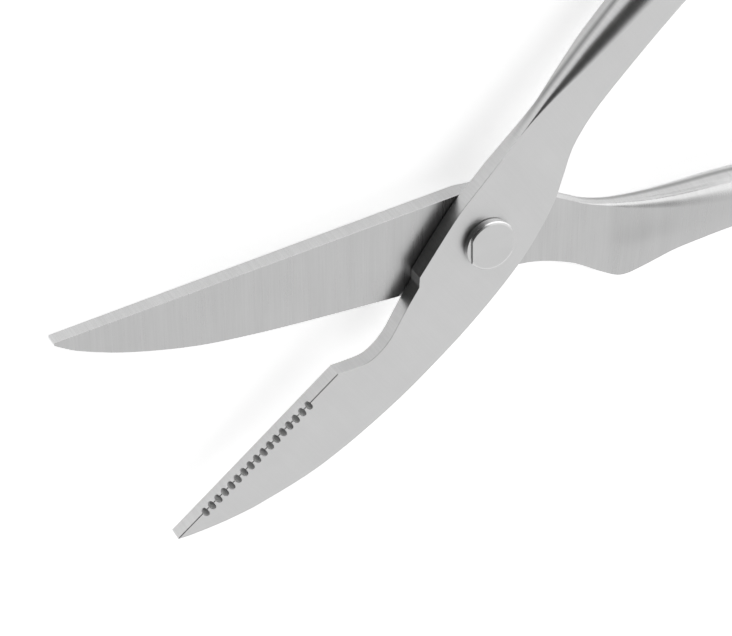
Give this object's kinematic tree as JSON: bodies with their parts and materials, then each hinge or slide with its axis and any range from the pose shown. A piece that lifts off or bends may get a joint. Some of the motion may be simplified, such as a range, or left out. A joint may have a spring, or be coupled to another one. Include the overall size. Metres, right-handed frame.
{
  "type": "poultry shears",
  "caption": "All-steel poultry shears with a straight-backed cutting blade, a serrated blade with a bone notch, a hidden opening spring and a folding lock hook.",
  "frame": {"origin": "middle of the pivot nut's outer face, on the pivot axis, where the shears rest on a table", "axes": "+X from the tips towards the handle ends along the line halfway between the two arms, +Z along the pivot axis from the nut to the screw head, +Y towards the thumb handle"},
  "size_m": [0.2319, 0.1285, 0.0143],
  "materials": {
    "satin_steel": "fine satin brushing across the arm",
    "blade_steel": "ground blade, fine grind lines across the edge",
    "pivot_steel": "turned face, bright edges",
    "spring_steel": "drawn wire",
    "pin_steel": "ground flush",
    "hook_steel": "stamped and tumbled",
    "washer_bronze": "plain bronze"
  },
  "bodies": {
    "rear_half": {"rear_arm": "blade_steel", "pivot_screw": "pivot_steel", "pivot_nut": "pivot_steel", "spring_washer": "spring_steel", "torsion_spring": "spring_steel", "stop_pin": "pin_steel", "catch_pin": "pin_steel"},
    "front_half": {"front_arm": "satin_steel", "hook_pin": "pin_steel", "hook_washer_front": "washer_bronze", "hook_washer_back": "washer_bronze"},
    "lock": {"lock_hook": "hook_steel"}
  },
  "joints": [
    {"name": "pivot", "type": "hinge", "parent": "rear_half", "child": "front_half", "pos_m": [0, 0, 0], "axis": [0, 0, -1], "range_deg": [0, 37], "stiffness_Nm_per_rad": 0.3, "springref_deg": -34.38, "deforming": ["torsion_spring"]},
    {"name": "lock_hook_swing", "type": "hinge", "parent": "front_half", "child": "lock", "pos_m": [0.1141, 0.0561, 0], "axis": [0, 0, 1], "range_deg": [0, 90]}
  ]
}
